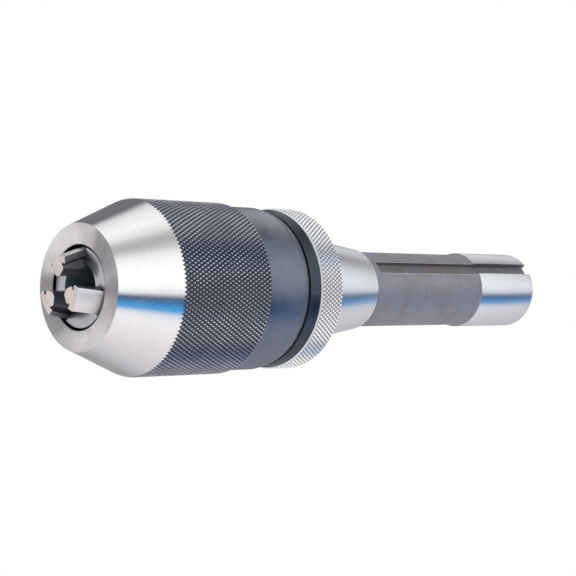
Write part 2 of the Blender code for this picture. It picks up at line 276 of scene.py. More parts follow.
def buildLatheMarks(marks):
    # fine lines left by turning or grinding: they run round the axis on cylinders, cones and flat faces
    # alike; the third output is a painted fan of highlight and shade round the axis
    inputs = {"Fineness": 9000.0, "Drift": 60.0, "Lobes": 0.87}
    tree, given, out = newGroup("latheMarks", inputs, ["Lines", "Broad", "PaintedRays"])
    x, y, z = splitUp(tree, objectPlace(tree))
    radius = fromAxis(tree, x, y)
    along = mathNode(tree, "MULTIPLY_ADD", radius, marks["outward"], z)
    drift = given.outputs["Drift"]
    for label, share in (("Lines", 1.0), ("Broad", marks["broad"])):
        fine = mathNode(tree, "MULTIPLY", given.outputs["Fineness"], share)
        vector = joinUp(
            tree, mathNode(tree, "MULTIPLY", along, fine),
            mathNode(tree, "MULTIPLY", x, drift), mathNode(tree, "MULTIPLY", y, drift),
        )
        noise = noiseNode(tree, vector, 1.0, marks["lineDetail"], marks["lineRoughness"])
        tree.links.new(noise, out.inputs[label])
    # the painted fan of highlight and shade depends almost only on the direction round the axis
    across = mathNode(tree, "DIVIDE", x, radius)
    heading = joinUp(
        tree, across, mathNode(tree, "DIVIDE", y, radius),
        mathNode(tree, "MULTIPLY", radius, marks["rayRings"]),
    )
    rays = noiseNode(tree, heading, marks["rayScale"], marks["rayDetail"])
    uneven = spread(tree, rays, marks["rayLow"], marks["rayHigh"], -marks["rayUneven"], marks["rayUneven"])
    around = mathNode(tree, "ARCTAN2", y, x)
    # two broad lobes of painted shade round the axis
    wave = mathNode(tree, "MULTIPLY_ADD", around, marks["lobeCount"], given.outputs["Lobes"])
    lobes = mathNode(tree, "COSINE", wave)
    tilt = mathNode(tree, "MULTIPLY", across, marks["tilt"])
    # a painted highlight: at this turn round the axis the fan's painted shade is taken away
    aside = mathNode(tree, "COSINE", mathNode(tree, "ADD", around, marks["highlightTurn"]))
    spot = mathNode(tree, "POWER", mathNode(tree, "MAXIMUM", aside, 0.0), marks["highlightNarrow"])
    lobes = mathNode(tree, "MULTIPLY_ADD", lobes, marks["lobeDepth"], marks["lobeMiddle"])
    both = mathNode(tree, "ADD", lobes, uneven)
    both = mathNode(tree, "MULTIPLY_ADD", spot, marks["highlightDepth"], both)
    tree.links.new(mathNode(tree, "ADD", both, tilt, clamp=True), out.inputs["PaintedRays"])
    return tree


handlingSettings = {
    "smudgeDetail": 5.0, "smudgeRoughness": 0.6, "smudgeDistortion": 0.6,
    "smudgeLow": 0.32, "smudgeHigh": 0.68,
    "pitSize": 0.16, "pitPatches": 400.0, "pitFrom": 0.6,
    "scratchTurn": (0.5, 0.35, 0.2), "scratchScale": (900, 900, 40), "scratchDetail": 1.0,
    "scratchLow": 0.70, "scratchHigh": 0.74,
}


def buildHandling(wear):
    # soft smudges, small pits and thin scratches that use leaves on steel
    inputs = {"Size": 160.0, "Pits": 1500.0}
    tree, given, out = newGroup("handling", inputs, ["Smudge", "Pits", "Scratch"])
    place = objectPlace(tree)
    smudge = noiseNode(
        tree, place, given.outputs["Size"],
        wear["smudgeDetail"], wear["smudgeRoughness"], wear["smudgeDistortion"],
    )
    tree.links.new(spread(tree, smudge, wear["smudgeLow"], wear["smudgeHigh"]), out.inputs["Smudge"])
    pits = addNode(tree, "ShaderNodeTexVoronoi")
    tree.links.new(place, pits.inputs["Vector"])
    tree.links.new(given.outputs["Pits"], pits.inputs["Scale"])
    spot = mathNode(tree, "LESS_THAN", pits.outputs["Distance"], wear["pitSize"])
    few = mathNode(tree, "GREATER_THAN", noiseNode(tree, place, wear["pitPatches"]), wear["pitFrom"])
    tree.links.new(mathNode(tree, "MULTIPLY", spot, few), out.inputs["Pits"])
    turn = addNode(tree, "ShaderNodeMapping")
    turn.inputs["Rotation"].default_value = wear["scratchTurn"]
    turn.inputs["Scale"].default_value = wear["scratchScale"]
    tree.links.new(place, turn.inputs["Vector"])
    scratch = noiseNode(tree, turn.outputs[0], 1.0, wear["scratchDetail"])
    tree.links.new(spread(tree, scratch, wear["scratchLow"], wear["scratchHigh"]), out.inputs["Scratch"])
    return tree


keywaySettings = {
    "width": 0.0040, "floor": 0.00979, "start": 0.0270, "angle": 240.0,
    "corner": 0.00025,        # radius along the floor's two long edges
    "rubbed": 0.00016,        # width of the bright line along each edge
    "pastEnd": 0.004, "pastPilot": 0.002,
}


def buildKeyEdge(key):
    # a thin rubbed line along both edges of the keyway
    inputs = {"Half": key["width"] / 2, "Width": key["rubbed"], "Turn": key["angle"]}
    tree, given, out = newGroup("keywayEdge", inputs, ["Mask"])
    x, y, z = splitUp(tree, objectPlace(tree))
    angle = mathNode(tree, "RADIANS", given.outputs["Turn"])
    sine, cosine = mathNode(tree, "SINE", angle), mathNode(tree, "COSINE", angle)

    def times(first, second):
        return mathNode(tree, "MULTIPLY", first, second)

    across = mathNode(tree, "SUBTRACT", times(y, cosine), times(x, sine))
    outward = mathNode(tree, "ADD", times(x, cosine), times(y, sine))
    off = mathNode(tree, "SUBTRACT", mathNode(tree, "ABSOLUTE", across), given.outputs["Half"])
    near = mathNode(tree, "LESS_THAN", off, given.outputs["Width"])
    facing = mathNode(tree, "GREATER_THAN", outward, 0.0)
    past = mathNode(tree, "GREATER_THAN", z, key["start"])
    tree.links.new(times(times(near, facing), past), out.inputs["Mask"])
    return tree


latheMarks = buildLatheMarks(marksSettings)
handling = buildHandling(handlingSettings)
keyEdge = buildKeyEdge(keywaySettings)


def startMaterial(name):
    made = bpy.data.materials.new(name)
    made.use_nodes = True
    tree = made.node_tree
    return made, tree, tree.nodes["Principled BSDF"]


def addBump(tree, shader, height, strength, distance):
    bump = addNode(tree, "ShaderNodeBump")
    bump.inputs["Strength"].default_value = strength
    bump.inputs["Distance"].default_value = distance
    tree.links.new(height, bump.inputs["Height"])
    tree.links.new(bump.outputs[0], shader.inputs["Normal"])


def turnedSteel(name, look):
    # bright or dulled steel with the marks of the lathe or grinder; some looks also paint shade or a fan of
    # highlight and shade into the colour
    made, tree, shader = startMaterial(name)
    marks = useGroup(tree, latheMarks, Fineness=look["fineness"], Drift=look["drift"])
    worn = useGroup(tree, handling, Size=look["smudgeSize"], Pits=look["pitSize"])
    smudge = worn.outputs["Smudge"]
    tone = mixColour(tree, marks.outputs["Broad"], look["dark"], look["light"])
    if look["paintedFan"] > 0:
        # a painted fan of highlight and shade in rays from the middle of a flat ring, laid into the colour
        tone = layOver(tree, tone, marks.outputs["PaintedRays"], look["paintedFan"], look["paintedFanTone"])
    tone = layOver(tree, tone, smudge, look["smudge"], look["stain"])
    tone = layOver(tree, tone, worn.outputs["Pits"], look["pits"], look["pitTone"])
    tone = layOver(tree, tone, worn.outputs["Scratch"], look["scratch"], look["scratchTone"])
    if look["sidePale"] > 0:
        # the side towards -X is paler, in patches
        x = splitUp(tree, objectPlace(tree))[0]
        side = spread(tree, x, look["sidePaleFrom"], look["sidePaleTo"], 0.0, look["sidePale"])
        patches = mathNode(tree, "MULTIPLY_ADD", smudge, look["sidePalePatches"], look["sidePaleEven"])
        tone = layOver(tree, tone, side, patches, look["sidePaleTone"])
    if look["keyEdge"] > 0:
        tone = layOver(tree, tone, useGroup(tree, keyEdge).outputs["Mask"], look["keyEdge"], look["rubTone"])
    tree.links.new(tone, shader.inputs["Base Color"])
    rough = mathNode(tree, "MULTIPLY_ADD", marks.outputs["Lines"], look["roughLines"], look["rough"])
    rough = mathNode(tree, "MULTIPLY_ADD", smudge, look["roughSmudge"], rough)
    tree.links.new(rough, shader.inputs["Roughness"])
    shader.inputs["Metallic"].default_value = look["metal"]
    shader.inputs["Anisotropic"].default_value = look["anisotropy"]
    shader.inputs["Anisotropic Rotation"].default_value = look["smearTurn"]
    if look["anisotropy"] > 0:
        tangent = addNode(tree, "ShaderNodeTangent", direction_type="RADIAL", axis="Z")
        tree.links.new(tangent.outputs[0], shader.inputs["Tangent"])
    height = mathNode(tree, "MULTIPLY_ADD", worn.outputs["Pits"], look["pitDepth"], marks.outputs["Lines"])
    height = mathNode(tree, "MULTIPLY_ADD", worn.outputs["Scratch"], look["scratchDepth"], height)
    addBump(tree, shader, height, look["bump"], look["bumpDepth"])
    return made


brightLook = {
    "light": (0.79, 0.815, 0.86), "dark": (0.68, 0.70, 0.74), "fineness": 9000.0, "drift": 70.0,
    "paintedFan": 0.0, "paintedFanTone": (0.4, 0.4, 0.4),
    "smudge": 0.25, "stain": (0.62, 0.635, 0.665), "smudgeSize": 90.0,
    "pits": 0.0, "pitTone": (0.05, 0.05, 0.055), "pitSize": 1500.0, "pitDepth": -1.5,
    "scratch": 0.15, "scratchTone": (0.8, 0.8, 0.8), "scratchDepth": -0.8,
    "sidePale": 0.0, "sidePaleTone": (0.4, 0.4, 0.4), "sidePaleFrom": -0.0115, "sidePaleTo": -0.0160,
    "sidePalePatches": 0.6, "sidePaleEven": 0.55,
    "keyEdge": 0.0, "rubTone": (0.75, 0.74, 0.74),
    "metal": 1.0, "rough": 0.215, "roughLines": 0.12, "roughSmudge": 0.05,
    "anisotropy": 0.85, "smearTurn": 0.25,  # a quarter turn lays the smear across the marks
    "bump": 0.2, "bumpDepth": 0.000006,
}
groundSteel = turnedSteel("groundSteel", brightLook | {"keyEdge": 0.4})
coneSteel = turnedSteel("coneSteel", brightLook | {
    "light": (0.82, 0.81, 0.805), "dark": (0.74, 0.73, 0.725), "fineness": 6000.0,
    "rough": 0.065, "roughLines": 0.055, "anisotropy": 0.92,
})
# the nose face's tone carries the painted fan of highlight and shade
noseSteel = turnedSteel("noseSteel", brightLook | {
    "light": (0.94, 0.915, 0.925), "dark": (0.72, 0.695, 0.70), "fineness": 4200.0, "drift": 25.0,
    "paintedFan": 0.9, "paintedFanTone": (0.27, 0.255, 0.26),
    "rough": 0.40, "roughLines": 0.25, "anisotropy": 0.9, "bump": 0.5, "bumpDepth": 0.00001,
})
reliefSteel = turnedSteel("reliefSteel", brightLook | {
    "light": (0.425, 0.43, 0.485), "dark": (0.295, 0.30, 0.35), "fineness": 5000.0,
    "smudge": 0.8, "stain": (0.30, 0.28, 0.295), "pits": 0.6, "scratchTone": (0.40, 0.40, 0.43),
    "keyEdge": 0.6, "rough": 0.56, "roughSmudge": 0.1, "anisotropy": 0.25,
})
keywaySteel = turnedSteel("keywaySteel", brightLook | {
    "light": (0.38, 0.37, 0.39), "dark": (0.19, 0.185, 0.195), "fineness": 2500.0,
    "smudge": 0.7, "stain": (0.25, 0.22, 0.21), "pits": 0.3, "scratch": 0.0, "rough": 0.5, "anisotropy": 0.0,
})
rearBlack = turnedSteel("rearBlack", brightLook | {
    "light": (0.168, 0.198, 0.265), "dark": (0.112, 0.132, 0.178),
    "smudge": 0.8, "stain": (0.24, 0.265, 0.32), "smudgeSize": 60.0,
    "pits": 0.2, "scratch": 0.12, "scratchTone": (0.24, 0.25, 0.27),
    "sidePale": 0.55, "sidePaleTone": (0.46, 0.48, 0.53),
    "rough": 0.31, "roughLines": 0.1, "roughSmudge": 0.14, "anisotropy": 0.5,
})
rearWorn = turnedSteel("rearWorn", brightLook | {
    "light": (0.20, 0.225, 0.285), "dark": (0.14, 0.155, 0.20),
    "smudge": 0.6, "stain": (0.24, 0.26, 0.30), "smudgeSize": 60.0,
    "scratch": 0.1, "scratchTone": (0.3, 0.3, 0.32), "rough": 0.34, "anisotropy": 0.4,
})
ringBlack = turnedSteel("ringBlack", brightLook | {
    "light": (0.062, 0.08, 0.102), "dark": (0.038, 0.052, 0.07),
    "smudge": 0.5, "stain": (0.085, 0.095, 0.11), "scratch": 0.05, "rough": 0.26, "anisotropy": 0.3,
})
guideSteel = turnedSteel("guideSteel", brightLook | {
    "light": (0.48, 0.48, 0.50), "dark": (0.32, 0.32, 0.34), "fineness": 5000.0, "rough": 0.2,
})
# dark tone for faces deep inside holes and the jaw guide: painted shade
recessShade = turnedSteel("recessShade", brightLook | {
    "light": (0.10, 0.20, 0.25), "dark": (0.05, 0.12, 0.16), "metal": 0.3, "rough": 0.4, "anisotropy": 0.0,
})
jawSteel = turnedSteel("jawSteel", brightLook | {
    "light": (0.88, 0.83, 0.82), "dark": (0.76, 0.71, 0.70), "fineness": 7000.0,
    "rough": 0.42, "anisotropy": 0.0,
})
# the tip faces: the steel's pinkish tint, painted darker than the flats as painted shade
jawTipTintAndShade = turnedSteel("jawTipTintAndShade", brightLook | {
    "light": (0.82, 0.755, 0.73), "dark": (0.56, 0.505, 0.49), "fineness": 2600.0,
    "smudge": 0.6, "stain": (0.50, 0.44, 0.43), "smudgeSize": 260.0, "rough": 0.38, "anisotropy": 0.0,
})
# dark tone for the jaws' sides, inward faces and grooves: painted shadow
jawSideShade = turnedSteel("jawSideShade", brightLook | {
    "light": (0.15, 0.155, 0.18), "dark": (0.075, 0.09, 0.11),
    "smudge": 0.6, "stain": (0.07, 0.07, 0.08), "metal": 0.7, "rough": 0.32, "anisotropy": 0.0,
})
raceSteel = turnedSteel("raceSteel", brightLook | {"rough": 0.1})
screwSteel = turnedSteel("screwSteel", brightLook | {
    "light": (0.36, 0.36, 0.37), "dark": (0.25, 0.25, 0.26), "rough": 0.25, "anisotropy": 0.0,
})
cageBrass = turnedSteel("cageBrass", brightLook | {
    "light": (0.72, 0.52, 0.22), "dark": (0.58, 0.40, 0.15), "stain": (0.45, 0.30, 0.12),
    "rough": 0.25, "anisotropy": 0.0,
})
ballSteel = turnedSteel("ballSteel", brightLook | {
    "rough": 0.05, "roughLines": 0.02, "anisotropy": 0.0, "bump": 0.02,
})
print("steel finishes made")


def knurlWearAndShade(name, peakRadius, depth, look):
    # the tops of the diamonds are rubbed lighter, and the grooves are painted darker by depth, a painted
    # shade
    made, tree, shader = startMaterial(name)
    place = objectPlace(tree)
    x, y = splitUp(tree, place)[:2]
    worn = useGroup(tree, handling, Size=look["smudgeSize"])
    rise = spread(tree, fromAxis(tree, x, y), peakRadius - depth, peakRadius)
    uneven = mathNode(tree, "MULTIPLY_ADD", worn.outputs["Smudge"], look["uneven"], rise)
    tops = spread(tree, uneven, look["topFrom"], look["topTo"])
    flank = mixColour(tree, spread(tree, rise, 0.0, look["grooveTo"]), look["groove"], look["flank"])
    tree.links.new(mixColour(tree, tops, flank, look["top"]), shader.inputs["Base Color"])
    rough = mathNode(tree, "MULTIPLY_ADD", tops, look["roughTop"], look["rough"])
    tree.links.new(rough, shader.inputs["Roughness"])
    shader.inputs["Metallic"].default_value = look["metal"]
    addBump(tree, shader, noiseNode(tree, place, look["grain"]), look["bump"], look["bumpDepth"])
    return made


def knurledBar(name, radius, zTop, zBottom, knurl, extraTop, extraBottom):
    # a bar with crossing grooves: rows of points, every other one pressed in, and plain ends beyond them
    teeth = knurl["teeth"]
    rowHeight = math.pi * radius / teeth * knurl["slope"]
    rows = math.ceil((zTop - zBottom) / rowHeight)
    rings = [(radius, zTop + extraTop)]
    rings += [(radius, zTop - row * rowHeight) for row in range(rows + 1)]
    rings.append((radius, zBottom - extraBottom))
    bar = turnedPiece(name, rings, 2 * teeth, closed=False)
    makeActive(bar)

    def rowOf(point):
        row = (zTop - point.z) / rowHeight
        nearest = round(row)
        inRow = abs(row - nearest) <= knurl["rowSlack"] and 0 <= nearest <= rows
        return nearest if inRow else None

    def isGroove(point):
        row = rowOf(point)
        column = round(math.atan2(point.y, point.x) / (math.pi / teeth))
        return row is not None and (row + column) % 2 == 0

    def isPeak(point):
        return rowOf(point) is not None and radiusOf(point) > radius - knurl["peakShare"] * knurl["depth"]

    selectVerts(bar, isGroove)
    factor = (radius - knurl["depth"]) / radius
    bpy.ops.transform.resize(value=(factor, factor, 1), center_override=(0, 0, 0))
    bpy.ops.mesh.select_mode(type="FACE")
    bpy.ops.object.mode_set(mode="OBJECT")
    for face in bar.data.polygons:
        face.select = len(face.vertices) == 4
    bpy.ops.object.mode_set(mode="EDIT")
    bpy.ops.mesh.quads_convert_to_tris(quad_method="SHORTEST_DIAGONAL")
    selectVerts(bar, isPeak)
    bpy.ops.mesh.bevel(offset=knurl["flat"], offset_type="OFFSET", segments=1, affect="VERTICES")
    bpy.ops.mesh.select_all(action="SELECT")
    bpy.ops.mesh.normals_make_consistent(inside=False)
    bpy.ops.object.mode_set(mode="OBJECT")
    return bar


sleeveKnurl = {
    "teeth": 128,             # grooves of each hand round the sleeve
    "depth": 0.00043,
    "slope": 1.75,            # length of a diamond over its width
    "flat": 0.000176,         # how far the flat on a diamond's top reaches down its edges
    "rowSlack": 0.05,         # a point this near a row, as a share of the row's height, is in it
    "peakShare": 0.3,         # points down by less than this share of the depth are tops
}
sleeveLow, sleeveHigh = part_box("knurled_sleeve")
sleeveSettings = {
    "radius": sleeveHigh.x, "rear": sleeveHigh.z, "nose": sleeveLow.z,
    "proud": 0.00002,         # the turned outline clears the tops of the knurl by this
    "rearEdge": ((-0.0005, 0.0), (0.00002, -0.00045)),
    "coneLength": 0.0174, "noseRadius": 0.01703,
    "coneInset": 0.00007,     # the cone's line starts this far inside the tops of the knurl
    "blend": 0.0012,          # half the length of the soft corner between knurl and cone
    "blendSteps": 6,
    "noseEdge": 0.00015, "noseRound": ((0.00004, 0.00006), (-0.0001, 0.0)),
    "noseHole": 0.01142, "holeLip": 0.00025,
    "innerCone": 0.010423,    # radius of the inner cone's line at the nose face
    "innerSlope": 0.3153, "boreRadius": 0.0210,
    "threadRadius": 0.0225, "threadEdge": 0.0002, "counterbore": 0.0094,
    "knurlPastRear": 0.0004, "knurlPastFront": 0.0022, "blankPastRear": 0.001, "blankPastNose": 0.0002,
    "paintSlack": 0.0002, "towardsNose": -0.5, "count": 256, "smooth": 14,
}
sleeveLook = {
    # the groove tone is a painted shade deep in the knurl; the top tone is the rubbed tops
    "groove": (0.05, 0.055, 0.072), "flank": (0.24, 0.25, 0.305), "top": (0.78, 0.78, 0.83),
    "topFrom": 0.60, "topTo": 1.0, "grooveTo": 0.8, "uneven": 0.16, "smudgeSize": 120.0,
    "rough": 0.34, "roughTop": -0.06, "metal": 1.0, "grain": 9000.0, "bump": 0.3, "bumpDepth": 0.00002,
}
sleeveBlack = knurlWearAndShade("sleeveBlack", sleeveSettings["radius"], sleeveKnurl["depth"], sleeveLook)


def buildSleeve(sizes):
    radius, rear, nose = sizes["radius"], sizes["rear"], sizes["nose"]
    noseRadius, hole, lip = sizes["noseRadius"], sizes["noseHole"], sizes["holeLip"]
    bore, thread, blend = sizes["boreRadius"], sizes["threadRadius"], sizes["blend"]
    front = nose + sizes["coneLength"]
    blank = knurledBar(
        "sleeveBlank", radius, rear + sizes["knurlPastRear"], front - sizes["knurlPastFront"],
        sleeveKnurl, sizes["blankPastRear"], sizes["coneLength"] + sizes["blankPastNose"],
    )
    giveMaterials(blank, sleeveBlack)
    slope = (radius - sizes["coneInset"] - noseRadius) / sizes["coneLength"]
    rings = [(thread + sizes["threadEdge"], rear)] + edgePoints(radius, rear, sizes["rearEdge"])
    for step in range(sizes["blendSteps"] + 1):
        share = step / sizes["blendSteps"]  # the slope grows evenly from none to the cone's
        inward = slope * share * share * blend
        rings.append((radius + sizes["proud"] - inward, front + blend - 2 * blend * share))
    rings.append((noseRadius + sizes["noseEdge"], nose + sizes["noseEdge"] / slope))
    rings += edgePoints(noseRadius, nose, sizes["noseRound"])
    boreStart = nose + (hole - sizes["innerCone"]) / sizes["innerSlope"]
    boreEnd = boreStart + (bore - hole) / sizes["innerSlope"]
    counterbore = rear - sizes["counterbore"]
    rings += [
        (hole + lip, nose), (hole, nose + lip), (hole, boreStart), (bore, boreEnd),
        (bore, counterbore), (thread, counterbore), (thread, rear - sizes["threadEdge"]),
    ]
    envelope = turnedPiece("sleeveTurning", rings, sizes["count"])
    giveMaterials(envelope, sleeveBlack, coneSteel, noseSteel, ringBlack)
    slack = sizes["paintSlack"]

    def isCone(middle, facing):
        return middle.z < front + blend and radiusOf(middle) > noseRadius - slack

    def isNoseFace(middle, facing):
        return facing.z < sizes["towardsNose"] and middle.z < nose + 2 * slack

    def isInside(middle, facing):
        inward = facing.x * middle.x + facing.y * middle.y < 0
        return radiusOf(middle) < hole + slack / 2 or (inward and middle.z > nose + lip)

    paintFaces(envelope, 1, isCone)
    paintFaces(envelope, 2, isNoseFace)
    paintFaces(envelope, 3, isInside)
    cutWith(blank, envelope, "INTERSECT")
    blank.name = "sleeve_knurled"
    smoothBy(blank, sizes["smooth"])
    return blank


sleeve = buildSleeve(sleeveSettings)
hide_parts("knurled_sleeve")
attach(sleeve, "sleeve")
print("knurled sleeve:", len(sleeve.data.polygons), "faces")

rearLow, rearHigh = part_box("rear_sleeve")
rearSettings = {
    "radius": rearHigh.x, "rear": rearHigh.z, "front": rearLow.z, "shoulder": 0.0158,
    "chamfer": 0.0038, "drop": 0.0011,
    "rearRound": ((-0.00035, 0.0), (-0.00008, -0.0001), (0.000044, -0.0004)),
    "fall": ((0.62, 0.3), (0.3, 0.6)),  # what is left of the drop at these shares of the chamfer
    "lineDrop": 0.1, "lineWidth": 0.0004, "lineDepth": 0.00014,
    "turns": 9, "threadRadius": 0.0222, "threadDepth": 0.0003, "threadEnd": 0.0004,
    "skirt": 0.0206, "wall": 0.00275, "hole": 0.0142, "holeEdge": 0.0003, "edge": 0.0002,
    "wornPast": 0.0003, "wornIn": 0.0004, "count": 192, "smooth": 25,
}


def buildRearSleeve(sizes):
    radius, rear, front = sizes["radius"], sizes["rear"], sizes["front"]
    chamfer, drop, edge = sizes["chamfer"], sizes["drop"], sizes["edge"]
    hole, holeEdge, wall = sizes["hole"], sizes["holeEdge"], rear - sizes["wall"]
    thread, root, skirt = sizes["threadRadius"], sizes["threadRadius"] - sizes["threadDepth"], sizes["skirt"]
    line, halfLine, shoulder = rear - chamfer, sizes["lineWidth"] / 2, rear - sizes["shoulder"]
    rings = [(hole + holeEdge, rear)] + edgePoints(radius - drop, rear, sizes["rearRound"])
    rings += [(radius - left * drop, rear - share * chamfer) for left, share in sizes["fall"]]
    rings += [
        (radius - sizes["lineDrop"] * drop, line + halfLine), (radius - sizes["lineDepth"], line),
        (radius, line - halfLine), (radius, shoulder + edge), (radius - edge, shoulder), (thread, shoulder),
    ]
    pitch = (shoulder - front - 2 * sizes["threadEnd"]) / sizes["turns"]
    for turn in range(sizes["turns"]):
        top = shoulder - sizes["threadEnd"] - turn * pitch
        rings += [(thread, top), (root, top - pitch / 2)]
    rings += [
        (thread, front + sizes["threadEnd"]), (root, front), (skirt + edge, front), (skirt, front + edge),
        (skirt, wall), (hole, wall), (hole, rear - holeEdge),
    ]
    piece = turnedPiece("sleeve_rear", rings, sizes["count"])
    giveMaterials(piece, rearBlack, rearWorn)
    wornFrom, wornRadius = line - sizes["wornPast"], radius - drop - sizes["wornIn"]
    paintFaces(piece, 1, lambda middle, facing: middle.z > wornFrom and radiusOf(middle) > wornRadius)
    smoothBy(piece, sizes["smooth"])
    return piece


rearSleeve = buildRearSleeve(rearSettings)
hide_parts("rear_sleeve")
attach(rearSleeve, "sleeve")

dustLow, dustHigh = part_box("dust_ring")
dustSettings = {
    "radius": dustHigh.x + 0.0004, "rear": dustHigh.z + 0.00022, "front": dustLow.z, "hole": 0.0138,
    "edge": 0.0003, "edgeMiddle": 0.3,   # the rounded edge's middle point lies at this share of it
    "hollow": 0.00045, "hollowMiddle": 0.6, "count": 192, "smooth": 30,
}


def buildDustRing(sizes):
    radius, rear, front, hole = sizes["radius"], sizes["rear"], sizes["front"], sizes["hole"]
    edge, small, hollow = sizes["edge"], sizes["edgeMiddle"] * sizes["edge"], sizes["hollow"]
    rings = [
        (hole, rear), (radius - edge, rear), (radius - small, rear - small), (radius, rear - edge),
        (radius - sizes["hollowMiddle"] * hollow, (rear + front) / 2), (radius - hollow, front + edge),
        (radius - hollow - small, front + small), (radius - hollow - edge, front), (hole, front),
    ]
    piece = turnedPiece("ring_dust", rings, sizes["count"])
    giveMaterials(piece, ringBlack)
    smoothBy(piece, sizes["smooth"])
    return piece


dustRing = buildDustRing(dustSettings)
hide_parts("dust_ring")
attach(dustRing, "shank")
print("rear sleeve and dust ring built")

collarKnurl = sleeveKnurl | {"teeth": 124, "depth": 0.00045, "slope": 1.45, "flat": 0.000192}
collarLow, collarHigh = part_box("knurled_collar")
collarSettings = {
    "radius": collarHigh.x, "rear": collarHigh.z, "front": collarLow.z, "hole": 0.0138, "proud": 0.00002,
    "rearChamfer": 0.0005, "rearDrop": 0.00045, "frontChamfer": 0.0006, "frontDrop": 0.0008,
    "edge": 0.00012,          # small rounding where a chamfer meets a flat face
    "faceRing": 0.0209,       # a ring on the rear face keeps its faces short
    "knurlPast": 0.0005, "blankPastRear": 0.001, "blankPastFront": 0.0016, "count": 256, "smooth": 14,
}
collarLook = sleeveLook | {
    # the groove tone is a painted shade deep in the knurl
    "groove": (0.12, 0.11, 0.115), "flank": (0.92, 0.93, 0.95), "top": (0.98, 0.98, 0.98),
    "topFrom": 0.5, "topTo": 0.9, "grooveTo": 0.5, "uneven": 0.1, "smudgeSize": 90.0,
    "rough": 0.24, "roughTop": -0.04, "metal": 0.7,
}
collarBright = knurlWearAndShade("collarBright", collarSettings["radius"], collarKnurl["depth"], collarLook)


def buildCollar(sizes):
    radius, rear, front = sizes["radius"], sizes["rear"], sizes["front"]
    blank = knurledBar(
        "collarBlank", radius, rear + sizes["knurlPast"], front - sizes["knurlPast"],
        collarKnurl, sizes["blankPastRear"], sizes["blankPastFront"],
    )
    giveMaterials(blank, collarBright)
    outer, edge = radius + sizes["proud"], sizes["edge"]
    rearRadius, frontRadius = radius - sizes["rearDrop"], radius - sizes["frontDrop"]
    rings = [
        (sizes["hole"], rear), (sizes["faceRing"], rear), (rearRadius - edge, rear),
        (rearRadius + edge / 2, rear - edge), (outer, rear - sizes["rearChamfer"]),
        (outer, front + sizes["frontChamfer"]), (frontRadius + edge / 2, front + edge),
        (frontRadius - edge, front), (sizes["hole"], front),
    ]
    envelope = turnedPiece("collarTurning", rings, sizes["count"])
    giveMaterials(envelope, groundSteel)
    cutWith(blank, envelope, "INTERSECT")
    blank.name = "collar_knurled"
    smoothBy(blank, sizes["smooth"])
    return blank


collar = buildCollar(collarSettings)
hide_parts("knurled_collar")
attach(collar, "shank")
print("collar:", len(collar.data.polygons), "faces")

shankLow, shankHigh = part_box("shank_body")
shankSettings = {
    "end": shankHigh.z, "front": shankLow.z,
    "pilotRadius": 0.01205, "pilotLength": 0.0280,
    "endRound": ((-0.0010, 0.0), (-0.0006, -0.00016), (-0.00018, -0.0006), (0.0, -0.0011)),
    "pilotRound": ((0.0, 0.0006), (-0.00008, 0.00035)),
    "reliefRadius": 0.01149, "reliefCorner": ((0.0001, 0.0001), (0.0, -0.0001)),
    "reliefGroove": ((0.0, 0.0021), (-0.00025, 0.0018), (-0.00032, 0.0011), (-0.00025, 0.0004)),
    "reliefPast": 0.0004,     # the relief's finish runs this far up the pilot's step
    "taperLength": 0.0238, "taperEnd": 0.01235, "gaugeRadius": 0.015875,
    "taperRound": ((-0.0003, 0.00008), (-0.0001, 0.0), (0.0, -0.0003)),
    "shoulder": 0.0028, "shoulderEdge": 0.0003, "neck": 0.0135,
    "flange": 0.0195, "flangeRear": -0.02645, "flangeEdge": 0.0002,
    "bore": 0.0065, "boreEnd": 0.00475, "boreEdge": 0.0003, "borePoint": 0.003, "borePointRadius": 0.0004,
    "drawbar": 0.0051, "drawbarDepth": 0.045, "mouth": 0.0010, "mouthWidth": 0.0009,
    "threads": 22, "threadPitch": 0.00127, "threadDepth": 0.0005,
    "threadStart": 0.0016, "threadRunOut": 0.0004,
    "threadRoot": 0.2, "threadCrest": 0.6,  # where each groove starts and is deepest, as shares of the pitch
    "count": 192, "smooth": 25,
}


